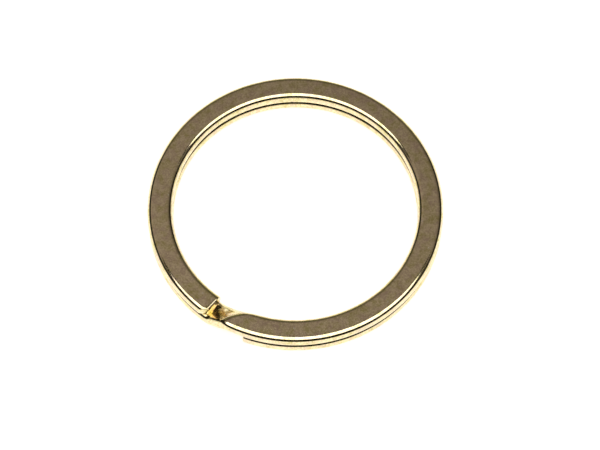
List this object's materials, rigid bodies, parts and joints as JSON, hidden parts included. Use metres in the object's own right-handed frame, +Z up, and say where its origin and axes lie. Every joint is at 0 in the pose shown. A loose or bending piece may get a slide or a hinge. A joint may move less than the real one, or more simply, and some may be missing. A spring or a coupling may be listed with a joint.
{
  "type": "split key ring",
  "caption": "Flat split key ring: one strip of flat spring wire wound edgewise into stacked turns, with a crank where it steps down under its own free end.",
  "frame": {"origin": "on the ring's axis, in the plane that the underside of the lower turn rests on", "axes": "+Z up along the ring's axis; the crank is at 120 degrees clockwise from +X seen from above, so in the view along +Y it is at the near left"},
  "size_m": [0.032, 0.032, 0.0028],
  "materials": {
    "gold_plate": "polished pale gold plating on spring steel"
  },
  "bodies": {
    "root": {"split_ring": "gold_plate"}
  },
  "joints": []
}
